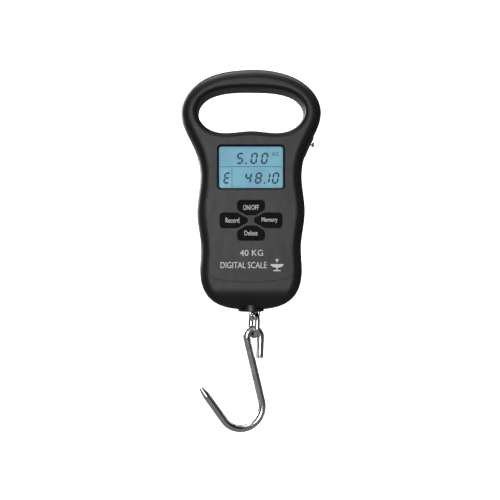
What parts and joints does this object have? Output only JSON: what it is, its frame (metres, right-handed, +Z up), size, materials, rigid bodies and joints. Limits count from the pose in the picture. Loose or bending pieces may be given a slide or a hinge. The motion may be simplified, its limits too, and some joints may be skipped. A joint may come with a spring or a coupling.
{
  "type": "digital fish scale",
  "caption": "Hand-held hanging scale with a finger opening, display, push buttons, a pull-out tape measure and a wire hook on a swivelling eye.",
  "frame": {"origin": "centre of the finger opening, on the load axis and in the plane where the two casing halves meet", "axes": "+X to the user's right facing the display, -Y out of the display, +Z up towards the handle"},
  "size_m": [0.1002, 0.0309, 0.2588],
  "materials": {
    "casing_plastic": "satin",
    "grip_plastic": "matte",
    "collar_plastic": "satin",
    "button_rubber": "matte",
    "screw_steel": "satin",
    "window_clear": "clear",
    "display_glass": "gloss",
    "light_plate": "satin",
    "black_plastic": "matte",
    "zebra_rubber": "matte",
    "board_green": "satin",
    "component_mix": "matte",
    "plunger_plastic": "matte",
    "cell_aluminium": "satin",
    "gauge_film": "matte",
    "wire_jacket": "satin",
    "plate_steel": "satin",
    "chrome_wire": "polished",
    "battery_jacket": "gloss",
    "contact_metal": "satin",
    "tape_strip": "satin"
  },
  "bodies": {
    "casing": {"front_shell": "casing_plastic", "rear_shell": "casing_plastic", "handle_grip": "grip_plastic", "hook_bush": "collar_plastic", "case_screws": "screw_steel", "lcd_window": "window_clear", "lcd_glass": "display_glass", "lcd_backlight": "light_plate", "lcd_holder": "black_plastic", "zebra_strips": "zebra_rubber", "main_board": "board_green", "controller_chip": "black_plastic", "board_components": "component_mix", "board_screws": "screw_steel", "switch_bases": "black_plastic", "load_cell": "cell_aluminium", "strain_gauges": "gauge_film", "cell_cable": "wire_jacket", "hanger_plate": "plate_steel", "hanger_screws": "screw_steel", "cell_screws": "screw_steel", "batteries": "battery_jacket", "battery_contacts": "contact_metal", "battery_springs": "contact_metal", "battery_wires": "wire_jacket", "tape_axle": "plate_steel", "tape_cover": "black_plastic", "cover_screws": "screw_steel"},
    "power_button": {"button_power": "button_rubber", "plunger_power": "plunger_plastic"},
    "record_button": {"button_record": "button_rubber", "plunger_record": "plunger_plastic"},
    "memory_button": {"button_memory": "button_rubber", "plunger_memory": "plunger_plastic"},
    "delete_button": {"button_delete": "button_rubber", "plunger_delete": "plunger_plastic"},
    "load_eye": {"load_eye": "chrome_wire", "eye_nut": "plate_steel"},
    "link": {"link": "chrome_wire"},
    "hook": {"hook": "chrome_wire"},
    "tape_end": {"tape_blade": "tape_strip", "tape_tab": "collar_plastic", "tape_end_hook": "contact_metal"},
    "tape_drum": {"tape_drum": "black_plastic", "tape_coil": "tape_strip", "tape_spring": "plate_steel"},
    "battery_door": {"battery_door": "casing_plastic"}
  },
  "joints": [
    {"name": "power_press", "type": "slide", "parent": "casing", "child": "power_button", "axis": [0, 1, 0], "range_m": [0, 0.0006]},
    {"name": "record_press", "type": "slide", "parent": "casing", "child": "record_button", "axis": [0, 1, 0], "range_m": [0, 0.0006]},
    {"name": "memory_press", "type": "slide", "parent": "casing", "child": "memory_button", "axis": [0, 1, 0], "range_m": [0, 0.0006]},
    {"name": "delete_press", "type": "slide", "parent": "casing", "child": "delete_button", "axis": [0, 1, 0], "range_m": [0, 0.0006]},
    {"name": "eye_swivel", "type": "hinge", "parent": "casing", "child": "load_eye", "pos_m": [0, 0, -0.1434], "axis": [0, 0, 1], "continuous": true},
    {"name": "link_swing", "type": "hinge", "parent": "load_eye", "child": "link", "pos_m": [0.00252, 0.00123, -0.1454], "axis": [-0.4384, 0.8988, 0], "range_deg": [-50, 50]},
    {"name": "hook_swing", "type": "hinge", "parent": "link", "child": "hook", "pos_m": [0.00188, 0.00092, -0.16145], "axis": [-0.2419, 0.9703, 0], "range_deg": [-50, 50]},
    {"name": "tape_pull", "type": "slide", "parent": "casing", "child": "tape_end", "axis": [1, 0, 0], "range_m": [0, 0.03]},
    {"name": "drum_spin", "type": "hinge", "parent": "casing", "child": "tape_drum", "pos_m": [0.01, 0.007, -0.0358], "axis": [0, 1, 0], "range_deg": [0, 139]},
    {"name": "door_lift", "type": "slide", "parent": "casing", "child": "battery_door", "axis": [0, 1, 0], "range_m": [0, 0.04]}
  ],
  "couplings": [
    {"joint": "drum_spin", "follows": "tape_pull", "rad_per_m": 80.645}
  ]
}
